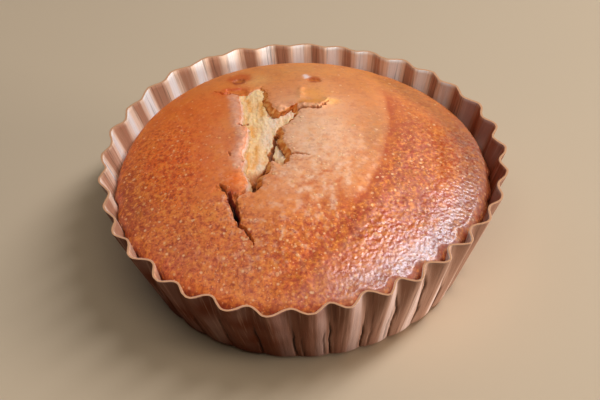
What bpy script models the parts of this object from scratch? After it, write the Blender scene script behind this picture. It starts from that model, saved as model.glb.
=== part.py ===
"""An individual olive oil cake with a torn, domed crust, in the brown fluted paper case it was baked in.

Metres, +Z up. The origin is the centre of the case's underside, and -Y is the front.
"""

import math
import random

import bmesh
import bpy
from mathutils import Vector, noise
from mathutils.geometry import delaunay_2d_cdt, intersect_point_line

MM = 0.001

# Paper case: a shallow cone of folded paper with a flat bottom.
RIM_RADIUS = 55.0 * MM
BASE_RADIUS = 44.0 * MM
CASE_HEIGHT = 28.0 * MM
PAPER = 0.6 * MM
CORNER = 1.4 * MM
FOLDS = 34
RIM_FOLD_DEPTH = 3.0 * MM
BASE_FOLD_DEPTH = 0.6 * MM
FOLD_OPENING = 2.6
BACK_FLATTENING = 0.62
WALL_LEVELS = (CORNER, 12.0 * MM, 23.0 * MM, CASE_HEIGHT)
FOLD_PHASES = (0.0, 0.12, 0.26, 0.41, 0.5, 0.59, 0.74, 0.88)
CREASE_POWER = 0.55
ARCH_POWER = 2.2

# The rim isn't quite round and its folds aren't even: (waves round the rim, size, direction in degrees).
RIM_SWAY = ((1, 0.6 * MM, 132), (2, 0.4 * MM, -106), (3, 1.3 * MM, 23))
FOLD_DRIFT = ((1, math.radians(2.4), -74), (2, math.radians(1.0), 165))
FIRST_FOLD = math.radians(2.4)
FOLD_WANDER = math.radians(0.7)
TIP_WANDER = 0.35 * MM
DEPTH_WANDER = 0.25
SEED = 11

# Cake: it fills the case, closely but without touching, and domes above its rim.
CLEARANCE = 0.3 * MM
SIDE_TOP = WALL_LEVELS[2]
SHOULDER_HEIGHT = 24.5 * MM
SHOULDER_RADIUS = 50.4 * MM
DOME_RISE = 10.5 * MM
DOME_POWER = 2.3
ROUNDING_START = 0.93
ROUNDING_POWER = 2.5
SHOULDER_SHARES = (0.978, 0.957)
POINT_SPACING = 2.1 * MM
UNEVENNESS = 0.35 * MM
UNEVENNESS_SPAN = 14.0 * MM
RELIEF_FADE = (0.9, 1.0)  # the shares of the shoulder's radius over which the relief dies out

# The smooth skin in the middle stands a little above the grainy crust to its right, inside this circle.
SKIN_CENTRE = Vector((-44.0, 18.0)) * MM
SKIN_RADIUS = 69.6 * MM
SKIN_STEP = 0.35 * MM
SKIN_STEP_WIDTH = 5.0 * MM

# A tongue of crust curls up between the tear and the slit.
TONGUE_PLACE = Vector((-17.5, -11.0)) * MM
TONGUE_SPAN = 4.5 * MM
TONGUE_RISE = 0.9 * MM

# The tear, as the outline of the missing crust, seen from above, in millimetres.
TEAR_OUTLINE = (
    (-16.2, 28.6), (-15.5, 22.0), (-15.2, 16.5), (-15.5, 12.6), (-13.9, 10.6), (-13.7, 6.5), (-14.2, 3.0),
    (-15.3, 0.4), (-14.7, -3.8), (-15.6, -6.6), (-14.5, -9.4), (-13.9, -12.2), (-14.8, -14.9), (-12.1, -15.7),
    (-10.2, -13.4), (-9.8, -9.9), (-7.9, -8.4), (-7.3, -4.6), (-6.2, -5.2), (-4.7, -6.8), (-2.9, -5.2),
    (-2.0, -2.4), (-2.9, 0.8), (-4.1, 3.8), (-3.5, 6.4), (-4.4, 9.3), (-2.3, 10.6), (0.5, 15.0), (0.2, 19.3),
    (-2.0, 17.5), (-4.8, 15.9), (-6.3, 18.3), (-7.5, 22.3), (-8.0, 27.4), (-9.6, 29.2), (-10.6, 26.3),
    (-14.2, 26.2),
)
TEAR_HIGH_SIDE = Vector((-15.0, 26.0)) * MM
TEAR_LOW_SIDE = Vector((-10.0, -13.0)) * MM
TEAR_DEPTHS = (1.6 * MM, 5.0 * MM)
TEAR_LUMP = 1.1 * MM
TEAR_LUMP_SPAN = 4.0 * MM
TEAR_LUMP_LAYER = 10.0 * MM
TEAR_FLOOR_SPACING = 1.9 * MM

# Cracks along a line: its points, the width of the crack at each of them and the depth, in millimetres.
CRACKS = {
    "slit": (
        ((-21.6, -11.0), (-19.8, -14.0), (-18.7, -18.0), (-17.2, -22.5), (-16.6, -25.6)),
        (0.6, 1.4, 1.7, 2.2, 0.7),
        6.0,
    ),
    "slit_tail": (((-15.9, -26.4), (-14.6, -28.6), (-13.2, -31.6)), (0.6, 1.1, 0.5), 1.8),
    "left_crack": (((-23.0, 33.0), (-20.4, 30.6), (-18.2, 30.4)), (0.5, 1.3, 0.6), 1.5),
    "right_crack": (((1.4, 17.0), (3.4, 16.8), (6.2, 16.5), (8.4, 19.2)), (0.6, 1.3, 0.9, 0.5), 1.6),
    "middle_crack": (((-1.2, -2.4), (0.6, -3.0), (2.8, -3.6)), (0.6, 0.8, 0.4), 1.2),
    "back_pit": (((-18.0, 41.0), (-16.6, 38.0), (-15.8, 34.6)), (1.6, 3.0, 1.8), 1.7),
}

CUTTER_TOP = 45.0 * MM
CUTTER_MARGIN = 0.4  # how near a floor point may lie to the outline, as a share of the points' spacing
MERGE_DISTANCE = 1e-7

PAPER_COLOUR = (0.16, 0.072, 0.035, 1.0)
PAPER_ROUGHNESS = 0.85
CRUST_COLOUR = (0.52, 0.17, 0.045, 1.0)
CRUST_ROUGHNESS = 0.45
CRUMB_COLOUR = (0.72, 0.42, 0.17, 1.0)
CRUMB_ROUGHNESS = 0.9
SHARP_ANGLE = math.radians(35)


def clear_scene():
    for obj in list(bpy.data.objects):
        bpy.data.objects.remove(obj)


def make_material(name, colour, roughness):
    material = bpy.data.materials.new(name)
    material.use_nodes = True
    shader = material.node_tree.nodes["Principled BSDF"]
    shader.inputs["Base Color"].default_value = colour
    shader.inputs["Roughness"].default_value = roughness
    shader.inputs["Metallic"].default_value = 0.0
    return material


def add_object(name, builder, material):
    """Turns the bmesh into a named object, and frees the bmesh."""
    builder.normal_update()
    mesh = bpy.data.meshes.new(name)
    builder.to_mesh(mesh)
    builder.free()
    mesh.materials.append(material)
    obj = bpy.data.objects.new(name, mesh)
    bpy.context.scene.collection.objects.link(obj)
    return obj


def smooth_step(value):
    value = min(max(value, 0.0), 1.0)
    return value * value * (3.0 - 2.0 * value)


def waves(terms, azimuth):
    return sum(size * math.cos(order * azimuth - math.radians(direction)) for order, size, direction in terms)


def fold_irregularities():
    """Each fold's own small error in place, reach and depth."""
    draw = random.Random(SEED)
    return [
        (draw.uniform(-FOLD_WANDER, FOLD_WANDER), draw.uniform(-TIP_WANDER, TIP_WANDER),
         1.0 + draw.uniform(-DEPTH_WANDER, DEPTH_WANDER))
        for _ in range(FOLDS)
    ]


def fold_azimuth(irregular, index):
    even = math.tau * index / FOLDS
    return even + FIRST_FOLD + waves(FOLD_DRIFT, even) + irregular[index % FOLDS][0]


def fold_shape(phase, height_share):
    """0 on an outward fold and 1 in the valley: a crease low down, and a wide arch at the rim."""
    crease = 1.0 - abs(math.cos(math.pi * phase)) ** CREASE_POWER
    arch = abs(math.sin(math.pi * phase)) ** ARCH_POWER
    opening = smooth_step(height_share)
    return crease + (arch - crease) * opening


def fold_depth(azimuth, height_share):
    """The folds deepen towards the rim, less so round the back, where they are spread flatter."""
    depth = BASE_FOLD_DEPTH + (RIM_FOLD_DEPTH - BASE_FOLD_DEPTH) * height_share**FOLD_OPENING
    towards_back = 0.5 + 0.5 * math.sin(azimuth)
    return depth * (1.0 - BACK_FLATTENING * towards_back * height_share)


def wall_loop(height):
    """The outer face of the folded wall at a height, anticlockwise, as plan points."""
    irregular = fold_irregularities()
    share = height / CASE_HEIGHT
    cone = BASE_RADIUS + (RIM_RADIUS - BASE_RADIUS) * share - max(0.0, CORNER - height)
    loop = []
    for index in range(FOLDS):
        start = fold_azimuth(irregular, index)
        end = fold_azimuth(irregular, index + 1)
        reach = irregular[index][1]
        next_reach = irregular[(index + 1) % FOLDS][1]
        for phase in FOLD_PHASES:
            azimuth = start + (end - start) * phase
            wander = waves(RIM_SWAY, azimuth) + reach + (next_reach - reach) * phase
            valley = fold_depth(azimuth, share) * irregular[index][2] * fold_shape(phase, share)
            radius = cone + wander * share - valley
            loop.append(Vector((radius * math.cos(azimuth), radius * math.sin(azimuth))))
    return loop


def inset(loop, distance):
    """The loop moved inwards, square to itself."""
    moved = []
    for index, point in enumerate(loop):
        along = (loop[(index + 1) % len(loop)] - loop[index - 1]).normalized()
        moved.append(point + distance * Vector((-along.y, along.x)))
    return moved


def add_loop(builder, loop, height):
    return [builder.verts.new((point.x, point.y, height)) for point in loop]


def bridge(builder, lower, upper):
    """Quads between two loops of equally many points, facing out when both run anticlockwise."""
    count = len(lower)
    for index in range(count):
        following = (index + 1) % count
        builder.faces.new((lower[index], lower[following], upper[following], upper[index]))


def make_case():
    builder = bmesh.new()
    outer_heights = (0.0, *WALL_LEVELS)
    inner_heights = (*reversed(WALL_LEVELS[1:]), CORNER + PAPER, PAPER)
    loops = [add_loop(builder, wall_loop(height), height) for height in outer_heights]
    for height in inner_heights:
        loops.append(add_loop(builder, inset(wall_loop(height), PAPER), height))
    for lower, upper in zip(loops, loops[1:]):
        bridge(builder, lower, upper)
    underside = builder.faces.new(reversed(loops[0]))
    inside_bottom = builder.faces.new(loops[-1])
    bmesh.ops.poke(builder, faces=[underside, inside_bottom])
    return add_object("paper_case", builder, make_material("paper", PAPER_COLOUR, PAPER_ROUGHNESS))


def dome_height(share):
    """The dome's height at a share of the shoulder's radius, rounded over at the edge."""
    crown = DOME_RISE * (1.0 - share**DOME_POWER)
    past = max(0.0, (share - ROUNDING_START) / (1.0 - ROUNDING_START))
    return SHOULDER_HEIGHT + crown - (SHOULDER_HEIGHT - SIDE_TOP) * past**ROUNDING_POWER


def relief(place):
    """What stands above or below the even dome at a plan point: swells, the skin's edge and the tongue."""
    swell = UNEVENNESS * noise.noise(Vector((place.x, place.y, 0.0)) / UNEVENNESS_SPAN)
    beyond_skin = (place - SKIN_CENTRE).length - SKIN_RADIUS
    step = -SKIN_STEP * smooth_step(0.5 + beyond_skin / SKIN_STEP_WIDTH)
    from_tongue = (place - TONGUE_PLACE).length / TONGUE_SPAN
    tongue = TONGUE_RISE * (1.0 - smooth_step(from_tongue))
    return swell + step + tongue


def surface_height(place):
    share = min(place.length / SHOULDER_RADIUS, 1.0)
    start, end = RELIEF_FADE
    fade = 1.0 - smooth_step((share - start) / (end - start))
    return dome_height(share) + relief(place) * fade


def dome_points(edge):
    """Plan points of the dome: the folded edge, two rings at the shoulder, and evenly spaced rings inside."""
    points = list(edge)
    ring_count = round(ROUNDING_START * SHOULDER_RADIUS / POINT_SPACING)
    inner_shares = [ROUNDING_START * ring / ring_count for ring in range(ring_count, 0, -1)]
    shares = [*SHOULDER_SHARES, *inner_shares]
    for ring, share in enumerate(shares):
        count = max(6, round(math.tau * share * SHOULDER_RADIUS / POINT_SPACING))
        for index in range(count):
            azimuth = math.tau * (index + 0.5 * (ring % 2)) / count
            radius = share * (SHOULDER_RADIUS + waves(RIM_SWAY, azimuth) * share)
            points.append(Vector((radius * math.cos(azimuth), radius * math.sin(azimuth))))
    points.append(Vector((0.0, 0.0)))
    return points


def triangulate(points, outline_count):
    """Triangles over plan points, kept inside the outline that the first of them make."""
    edges = [(index, (index + 1) % outline_count) for index in range(outline_count)]
    places, _, triangles, *_ = delaunay_2d_cdt(points, edges, [], 1, MERGE_DISTANCE)
    return places, triangles


def make_cake_body():
    builder = bmesh.new()
    side_heights = (PAPER + CLEARANCE, CORNER + PAPER + CLEARANCE, WALL_LEVELS[1], SIDE_TOP)
    side_loops = [inset(wall_loop(height), PAPER + CLEARANCE) for height in side_heights]
    rings = [add_loop(builder, loop, height) for loop, height in zip(side_loops, side_heights)]
    for lower, upper in zip(rings, rings[1:]):
        bridge(builder, lower, upper)
    underside = builder.faces.new(reversed(rings[0]))
    bmesh.ops.poke(builder, faces=[underside])

    edge = rings[-1]
    places, triangles = triangulate(dome_points(side_loops[-1]), len(edge))
    top = list(edge)
    for place in places[len(edge):]:
        top.append(builder.verts.new((place.x, place.y, surface_height(place))))
    for triangle in triangles:
        builder.faces.new([top[index] for index in triangle])
    return builder


def plan_cutter(name, outline, floor_height, spacing, material):
    """A hidden solid that cuts the outline down to a floor, whose height is a function of the place."""
    low_x = min(point.x for point in outline)
    high_x = max(point.x for point in outline)
    low_y = min(point.y for point in outline)
    high_y = max(point.y for point in outline)
    points = list(outline)
    for row in range(1, int((high_y - low_y) / spacing) + 1):
        for column in range(1, int((high_x - low_x) / spacing) + 1):
            shift = 0.5 * (row % 2)
            point = Vector((low_x + (column - shift) * spacing, low_y + row * spacing))
            if is_well_inside(point, outline, CUTTER_MARGIN * spacing):
                points.append(point)
    places, triangles = triangulate(points, len(outline))
    builder = bmesh.new()
    floor = [builder.verts.new((place.x, place.y, floor_height(place))) for place in places]
    lid = [builder.verts.new((place.x, place.y, CUTTER_TOP)) for place in places]
    for triangle in triangles:
        builder.faces.new([floor[index] for index in reversed(triangle)])
        builder.faces.new([lid[index] for index in triangle])
    bridge(builder, floor[: len(outline)], lid[: len(outline)])
    cutter = add_object(name, builder, material)
    cutter.hide_render = True
    cutter.display_type = "WIRE"
    return cutter


def is_well_inside(point, outline, margin):
    inside = False
    for start, end in zip(outline, outline[1:] + outline[:1]):
        nearest, share = intersect_point_line(point, start, end)
        nearest = start if share < 0.0 else end if share > 1.0 else nearest.to_2d()
        if (point - nearest).length < margin:
            return False
        if (start.y > point.y) != (end.y > point.y):
            crossing = start.x + (end.x - start.x) * (point.y - start.y) / (end.y - start.y)
            inside = inside != (point.x < crossing)
    return inside


def tear_floor(place):
    """The torn crumb's height: shallow at the back, and deep where the tear ends at the front."""
    fall = TEAR_LOW_SIDE - TEAR_HIGH_SIDE
    along = (place - TEAR_HIGH_SIDE).dot(fall) / fall.length_squared
    shallow, deep = TEAR_DEPTHS
    depth = shallow + (deep - shallow) * smooth_step(along)
    lump = TEAR_LUMP * noise.noise(Vector((place.x, place.y, TEAR_LUMP_LAYER)) / TEAR_LUMP_SPAN)
    return surface_height(place) - depth + lump


def make_tear_cutter(crumb):
    outline = [Vector(point) * MM for point in TEAR_OUTLINE]
    return plan_cutter("tear_cutter", outline, tear_floor, TEAR_FLOOR_SPACING, crumb)


def crack_outline(line, widths):
    """A closed outline round a line, as wide as stated at each of its points, pointed at both ends."""
    left = []
    right = []
    for index, (point, width) in enumerate(zip(line, widths)):
        before = line[max(index - 1, 0)]
        after = line[min(index + 1, len(line) - 1)]
        along = (after - before).normalized()
        across = Vector((-along.y, along.x)) * 0.5 * width
        left.append(point + across)
        right.append(point - across)
    tail = line[0] + (line[0] - line[1]).normalized() * widths[0]
    tip = line[-1] + (line[-1] - line[-2]).normalized() * widths[-1]
    return [tail, *right, tip, *reversed(left)]


def make_crack_cutter(name, line, widths, depth, crumb):
    outline = crack_outline([Vector(point) * MM for point in line], [width * MM for width in widths])

    def crack_floor(place):
        return surface_height(place) - depth * MM

    return plan_cutter(name + "_cutter", outline, crack_floor, max(widths) * MM, crumb)


def make_cake():
    crust = make_material("crust", CRUST_COLOUR, CRUST_ROUGHNESS)
    cake = add_object("cake", make_cake_body(), crust)
    crumb = make_material("crumb", CRUMB_COLOUR, CRUMB_ROUGHNESS)
    cutters = [make_tear_cutter(crumb)]
    for name, (line, widths, depth) in CRACKS.items():
        cutters.append(make_crack_cutter(name, line, widths, depth, crumb))
    for cutter in cutters:
        cut = cake.modifiers.new(cutter.name, "BOOLEAN")
        cut.operation = "DIFFERENCE"
        cut.solver = "EXACT"
        cut.material_mode = "TRANSFER"
        cut.object = cutter
    return cake


def main():
    clear_scene()
    case = make_case()
    cake = make_cake()
    for obj in (case, cake):
        obj.data.shade_smooth()
        obj.data.set_sharp_from_angle(angle=SHARP_ANGLE)


main()
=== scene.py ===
import math
import random

import bpy
import numpy as np
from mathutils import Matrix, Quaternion, Vector, noise
from mathutils.geometry import delaunay_2d_cdt


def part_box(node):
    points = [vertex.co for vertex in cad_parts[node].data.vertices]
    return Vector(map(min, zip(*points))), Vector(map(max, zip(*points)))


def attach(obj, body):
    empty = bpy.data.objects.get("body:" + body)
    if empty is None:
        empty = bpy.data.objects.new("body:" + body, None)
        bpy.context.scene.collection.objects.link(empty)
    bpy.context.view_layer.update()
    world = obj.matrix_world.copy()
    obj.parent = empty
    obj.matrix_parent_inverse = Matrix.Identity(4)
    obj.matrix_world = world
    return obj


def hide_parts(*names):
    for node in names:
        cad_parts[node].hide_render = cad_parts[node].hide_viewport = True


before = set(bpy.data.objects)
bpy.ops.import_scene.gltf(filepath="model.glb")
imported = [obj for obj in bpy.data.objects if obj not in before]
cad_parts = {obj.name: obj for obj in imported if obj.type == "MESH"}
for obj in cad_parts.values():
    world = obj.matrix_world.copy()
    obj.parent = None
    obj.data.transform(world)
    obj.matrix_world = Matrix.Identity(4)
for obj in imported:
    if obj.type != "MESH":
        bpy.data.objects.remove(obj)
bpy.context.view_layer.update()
mm = 0.001  # shapes are worked out in millimetres, and scaled when a mesh is made
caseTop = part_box("paper_case")[1].z / mm
rowShare = 0.866  # the rows of an even field of points lie this much closer than its columns


def smoothStep(values):  # from 0 to 1, easing in and out
    share = np.clip(values, 0, 1)
    return share * share * (3 - 2 * share)


def ease(values, start, reach):  # 0 at the start, easing to 1 over the reach, which is negative to run down
    return smoothStep((values - start) / reach)


def mix(low, high, share):
    return low + (high - low) * share


def bell(away, width):
    return np.exp(-(away / width) ** 2)


def noiseAt(places, span, layer=0):  # soft noise from about -1 to 1, at plan points or at points in space
    spots = np.asarray(places, float) / span
    if spots.shape[1] == 2:
        spots = np.column_stack([spots, np.full(len(spots), layer)])
    return np.array([noise.noise(spot) for spot in spots.tolist()])


def noisePair(places, span, layer, otherLayer):
    return np.column_stack([noiseAt(places, span, layer), noiseAt(places, span, otherLayer)])


def ridgesAt(places, span, layer):  # 1 along winding crests, falling to 0 and below between them
    return 1 - np.abs(noiseAt(places, span, layer)) * 2


def cellsAt(places, span, layer):  # how far the nearest grain's centre is, as a share of the span
    spots = np.column_stack([places / span, np.full(len(places), layer)])
    return np.array([noise.voronoi(spot)[0][0] for spot in spots.tolist()])


def patchAt(places, centre, reach):  # 1 in the middle of a soft round patch, and almost 0 at its reach
    away = (places - np.array(centre)) / np.array(reach)
    return np.exp(-2 * np.einsum("ij,ij->i", away, away))


def waves(terms, azimuth):  # each wave has an order, a size and the direction of its crest in degrees
    total = 0
    for order, size, direction in terms:
        total = total + size * np.cos(order * azimuth - math.radians(direction))
    return total


def linear(colour):  # from the 0 to 255 of a colour picker; what is linear already comes back as it is
    if not isinstance(colour, tuple):
        return colour
    shares = np.array(colour) / 255
    return np.where(shares <= 0.04045, shares / 12.92, ((shares + 0.055) / 1.055) ** 2.4)


def plainColour(colour, count):
    return np.tile(linear(colour), (count, 1))


def blend(colours, *layers):  # each layer is a colour and how much of it comes through at every point
    for layer, share in layers:
        colours = colours + (linear(layer) - colours) * np.asarray(share)[:, None]
    return colours


def distanceFrom(places, centre):
    return np.linalg.norm(places - np.array(centre), axis=1)


def distanceToLine(places, line, closed=False):
    line = np.array(line)
    best = np.full(len(places), 1e9)
    ends = np.roll(line, -1, axis=0) if closed else line[1:]
    for start, end in zip(line, ends):
        along = end - start
        share = np.clip((places - start) @ along / (along @ along), 0, 1)
        gap = places - start - share[:, None] * along
        best = np.minimum(best, np.einsum("ij,ij->i", gap, gap))
    return np.sqrt(best)


def isInside(places, outline):
    inside = np.zeros(len(places), bool)
    for start, end in zip(outline, np.roll(outline, -1, axis=0)):
        if start[1] == end[1]:
            continue
        spans = (start[1] > places[:, 1]) != (end[1] > places[:, 1])
        crossing = start[0] + (end[0] - start[0]) * (places[:, 1] - start[1]) / (end[1] - start[1])
        inside ^= spans & (places[:, 0] < crossing)
    return inside


def roughen(outline, step, jag=0, layer=0):  # walks round an outline in short steps and frays it
    outline = np.array(outline)
    points = []
    for start, end in zip(outline, np.roll(outline, -1, axis=0)):
        count = max(1, int(round(np.linalg.norm(end - start) / step)))
        points += [start + (end - start) * index / count for index in range(count)]
    points = np.array(points)
    frayed = points.copy()
    for span, size in ((2.2, jag), (0.8, 0.55 * jag)):
        frayed += size * noisePair(points, span, layer, layer + 7.3)
    return frayed


def inwardNormals(loop):
    following = np.roll(loop, -1, axis=0)
    along = following - np.roll(loop, 1, axis=0)
    along /= np.linalg.norm(along, axis=1)[:, None]
    normal = np.column_stack([-along[:, 1], along[:, 0]])
    area = np.sum(loop[:, 0] * following[:, 1] - loop[:, 1] * following[:, 0])
    return normal if area > 0 else -normal


def inset(loop, distance):
    return loop + distance * inwardNormals(loop)


def roundPlaces(radius, azimuth, *heights):
    return np.column_stack([radius * np.cos(azimuth), radius * np.sin(azimuth), *heights])


def spread(spacing, reach, centre, seed):  # an even but slightly shuffled field of plan points
    shuffle = np.random.default_rng(seed)
    most = [int(reach[0] / spacing), int(reach[1] / (spacing * rowShare))]
    column, row = np.meshgrid(*[np.arange(-count - 1, count + 2) for count in most])
    x = (column + 0.5 * (row % 2)).ravel() * spacing
    field = np.column_stack([x, row.ravel() * spacing * rowShare])
    field += shuffle.uniform(-0.16, 0.16, field.shape) * spacing
    return field + np.array(centre)


def triangulate(points, loops):  # triangles over plan points, with every loop kept as an edge
    edges = []
    first = 0
    for loop in loops:
        edges += [(first + index, first + (index + 1) % loop) for index in range(loop)]
        first += loop
    places, _, triangles, *_ = delaunay_2d_cdt([Vector(point) for point in points], edges, [], 1, 1e-6)
    return np.array([tuple(place) for place in places]), np.array([tuple(face) for face in triangles])


def placeObject(name, data):
    made = bpy.data.objects.new(name, data)
    bpy.context.scene.collection.objects.link(made)
    return made


def makePiece(name, points, faces, material, sharpAngle=None):
    mesh = bpy.data.meshes.new(name)
    mesh.from_pydata((np.asarray(points) * mm).tolist(), [], faces)
    mesh.materials.append(material)
    mesh.shade_smooth()
    if sharpAngle:
        mesh.set_sharp_from_angle(angle=math.radians(sharpAngle))
    triangles = sum(len(face.vertices) - 2 for face in mesh.polygons)
    print(name, len(mesh.vertices), "points,", triangles, "triangles")
    return placeObject(name, mesh)


def paintPoints(piece, name, values):  # a colour or a number for every point, which the material reads
    values = np.asarray(values, float)
    kind, slot = "FLOAT", "value"
    if values.ndim == 2:
        kind, slot = "FLOAT_COLOR", "color"
        values = np.column_stack([values, np.ones(len(values))])
    piece.data.attributes.new(name, kind, "POINT").data.foreach_set(slot, values.ravel())


def ringFaces(lower, upper, columns):  # quads between two rings of points that start at these numbers
    index = np.arange(columns)
    following = (index + 1) % columns
    return np.column_stack([lower + index, lower + following, upper + following, upper + index]).tolist()


def fanFaces(first, columns, middle, turned=False):  # triangles from a ring of points to its middle point
    ring = first + np.arange(columns)
    following = np.roll(ring, -1)
    start, end = (following, ring) if turned else (ring, following)
    return np.column_stack([start, end, np.full(columns, middle)]).tolist()


def setSocket(tree, socket, value):
    if isinstance(value, bpy.types.NodeSocket):
        tree.links.new(value, socket)
    else:
        socket.default_value = value


def addNode(tree, kind, settings=None, **inputs):
    # inputs are named like the sockets, with _ for a space, or i0, i1 and so on by number
    made = tree.nodes.new(kind)
    for name, value in (settings or {}).items():
        setattr(made, name, value)
    for name, value in inputs.items():
        setSocket(tree, made.inputs[int(name[1:]) if name[1:].isdigit() else name.replace("_", " ")], value)
    return made


def startMaterial(name, roughness):
    material = bpy.data.materials.new(name)
    material.use_nodes = True
    tree = material.node_tree
    shader = tree.nodes["Principled BSDF"]
    shader.inputs["Roughness"].default_value = roughness
    return material, tree, shader


def letLightIn(shader, share, radii, reach):  # light goes a little way under the surface
    shader.inputs["Subsurface Weight"].default_value = share
    shader.inputs["Subsurface Radius"].default_value = radii
    shader.inputs["Subsurface Scale"].default_value = reach * mm


def readPoints(tree, name, output="Fac"):
    return addNode(tree, "ShaderNodeAttribute", {"attribute_name": name}).outputs[output]


def millimetres(tree):  # the place on the piece, in millimetres
    place = addNode(tree, "ShaderNodeTexCoord").outputs["Object"]
    return addNode(tree, "ShaderNodeVectorMath", {"operation": "SCALE"}, i0=place, Scale=1 / mm).outputs[0]


def noiseNode(tree, place, scale, detail=3, roughness=0.6):
    made = addNode(tree, "ShaderNodeTexNoise", Vector=place, Scale=scale, Detail=detail, Roughness=roughness)
    return made.outputs["Fac"]


def cellNode(tree, place, scale):  # the distance to the nearest of some scattered points
    return addNode(tree, "ShaderNodeTexVoronoi", Vector=place, Scale=scale).outputs["Distance"]


def mixColour(tree, share, first, second):
    made = addNode(tree, "ShaderNodeMix", {"data_type": "RGBA"}, i0=share)
    for number, value in ((6, first), (7, second)):
        if not isinstance(value, bpy.types.NodeSocket):
            value = (*linear(value), 1)
        setSocket(tree, made.inputs[number], value)
    return made.outputs[2]


def layColours(tree, colour, *layers):  # each layer is the mask that lets a colour through, and that colour
    for mask, layer in layers:
        colour = mixColour(tree, mask, colour, layer)
    return colour


def ramp(tree, value, low, high, outHigh=1, outLow=0):
    settings = {"interpolation_type": "SMOOTHSTEP"}
    made = addNode(tree, "ShaderNodeMapRange", settings, Value=value, i1=low, i2=high, i3=outLow, i4=outHigh)
    return made.outputs[0]


def calculate(tree, operation, first, second):
    return addNode(tree, "ShaderNodeMath", {"operation": operation}, i0=first, i1=second).outputs[0]


def addBump(tree, shader, height, depth, strength):
    bump = addNode(tree, "ShaderNodeBump", Strength=strength, Distance=depth * mm, Height=height)
    tree.links.new(bump.outputs[0], shader.inputs["Normal"])


paperCase = {  # the fluted baking paper: its folds, creases and browns, with painted light and shade
    "rimRadius": 55,
    "baseRadius": 44,
    "thickness": 0.6,
    "corner": 1.4,
    "folds": 34,
    "rimFoldDepth": 3,
    "baseFoldDepth": 0.6,
    "foldOpening": 2.6,
    "backFlattening": 0.62,  # the folds are spread flatter round the back
    "creasePower": 0.55,
    "archPower": 2.2,
    "rimSway": ((1, 0.6, 132), (2, 0.4, -106), (3, 1.3, 23)),
    "foldDrift": ((1, math.radians(2.4), -74), (2, math.radians(1), 165)),
    "firstFold": math.radians(2.4),
    "foldWander": math.radians(0.7),
    "tipWander": 0.35,
    "depthWander": 0.25,
    "seed": 11,
    "columnsPerFold": 44,
    "rings": 25,
    "pinch": 0.5,  # how much deeper the pressed crease is than the soft valley round it
    "pinchWidth": 0.028,
    "pinchWander": 0.09,
    "pinchTop": (12, 27),  # each crease ends somewhere between these heights
    "sideCrease": 0.5,  # the share of folds that have a second, fainter crease
    "sideCreaseAway": 0.19,
    "wrinkle": 0.16,
    "rimWave": 0.25,
    "outside": (182, 142, 120),
    "outsideOneLayerLit": (222, 194, 182),  # one flank of each fold, where the paper is one layer thick: painted light
    "outsideTwoLayersShaded": (150, 108, 86),  # and the other flank, where the paper lies in two layers: painted shade
    "inside": (248, 210, 178),
    # the inner flanks likewise: near-white painted light and painted shade
    "insideOneLayerLit": (255, 246, 236),
    "insideTwoLayersShaded": (184, 120, 84),
    "paintedShade": (100, 40, 6),  # painted shade on the shaded front-left outside and on the low inner wall on the right
    "paintedShadeInner": (140, 58, 14),
    "paintedShadeOutside": (-128, 58),  # the azimuth in the middle of that side, and its reach
    "paintedShadeInside": (0, 37),
    "tanned": (120, 76, 52),  # the side that the oven browned most
    "tannedOutside": (38, 66),
    "cutEdge": (206, 150, 108),
    "paleFibre": (196, 154, 132),
    "darkFibre": (70, 38, 22),
    # painted shade in the pressed creases, with the stain of the pressed paper
    "creaseShadeAndStain": (26, 12, 7),
    "roughness": 0.8,
}


def foldErrors(case):  # each fold's own error in place, reach and depth
    draw = random.Random(case["seed"])
    wanders = [case[name] for name in ("foldWander", "tipWander", "depthWander")]
    errors = [[draw.uniform(-wander, wander) for wander in wanders] for _ in range(case["folds"])]
    return np.array(errors) + (0, 0, 1)


def creaseShare(case, height, fold, phase):  # 1 in the bottom of a pressed crease, which wanders up its fold
    draw = np.random.default_rng(case["seed"])
    count = case["folds"]
    width = case["pinchWidth"]
    wander = case["pinchWander"]
    away = case["sideCreaseAway"]
    top = draw.uniform(*case["pinchTop"], count)[fold]
    aside = (draw.choice((-away, away), count) + draw.uniform(-0.05, 0.05, count))[fold]
    second = (draw.uniform(0, 1, count) < case["sideCrease"])[fold]
    spots = np.column_stack([fold * 3.7, np.full(len(fold), height / 6)])
    middle = 0.5 + wander * noiseAt(spots, 1) + wander * 0.4 * noiseAt(spots, 0.3, 5)
    main = (1 - ease(height - top, -6, 7)) * bell(phase - middle, width)
    faint = (1 - ease(height, 0.6 * top, 5)) * second * bell(phase - middle - aside, 0.7 * width)
    return ease(height, 0.8, 2.5) * np.maximum(main, 0.6 * faint)


def wallLoop(case, height, phases, pinch=0, wrinkle=0):  # the folded wall's outer face, as plan points
    errors = foldErrors(case)
    folds = case["folds"]
    share = height / caseTop
    fold = np.repeat(np.arange(folds), len(phases))
    phase = np.tile(phases, folds)
    following = (fold + 1) % folds

    def foldAzimuth(index):
        even = math.tau * index / folds
        return even + case["firstFold"] + waves(case["foldDrift"], even) + errors[index % folds, 0]

    azimuth = mix(foldAzimuth(fold), foldAzimuth(fold + 1), phase)
    cone = mix(case["baseRadius"], case["rimRadius"], share) - max(0, case["corner"] - height)
    wander = waves(case["rimSway"], azimuth) + mix(errors[fold, 1], errors[following, 1], phase)
    crease = 1 - np.abs(np.cos(math.pi * phase)) ** case["creasePower"]
    arch = np.abs(np.sin(math.pi * phase)) ** case["archPower"]
    shape = mix(crease, arch, float(smoothStep(share)))
    depth = mix(case["baseFoldDepth"], case["rimFoldDepth"], share ** case["foldOpening"])
    depth = depth * (1 - case["backFlattening"] * (0.5 + 0.5 * np.sin(azimuth)) * share)
    radius = cone + wander * share - depth * shape * errors[fold, 2]
    if pinch:
        radius = radius - pinch * creaseShare(case, height, fold, phase)
    if wrinkle:
        around = roundPlaces(50, azimuth, np.full(len(phase), height * 0.06))
        uneven = noiseAt(around, 1.7) + 0.6 * noiseAt(around, 0.7)
        radius = radius + wrinkle * uneven * (0.35 + 0.65 * share)
    return roundPlaces(radius, azimuth)


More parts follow.
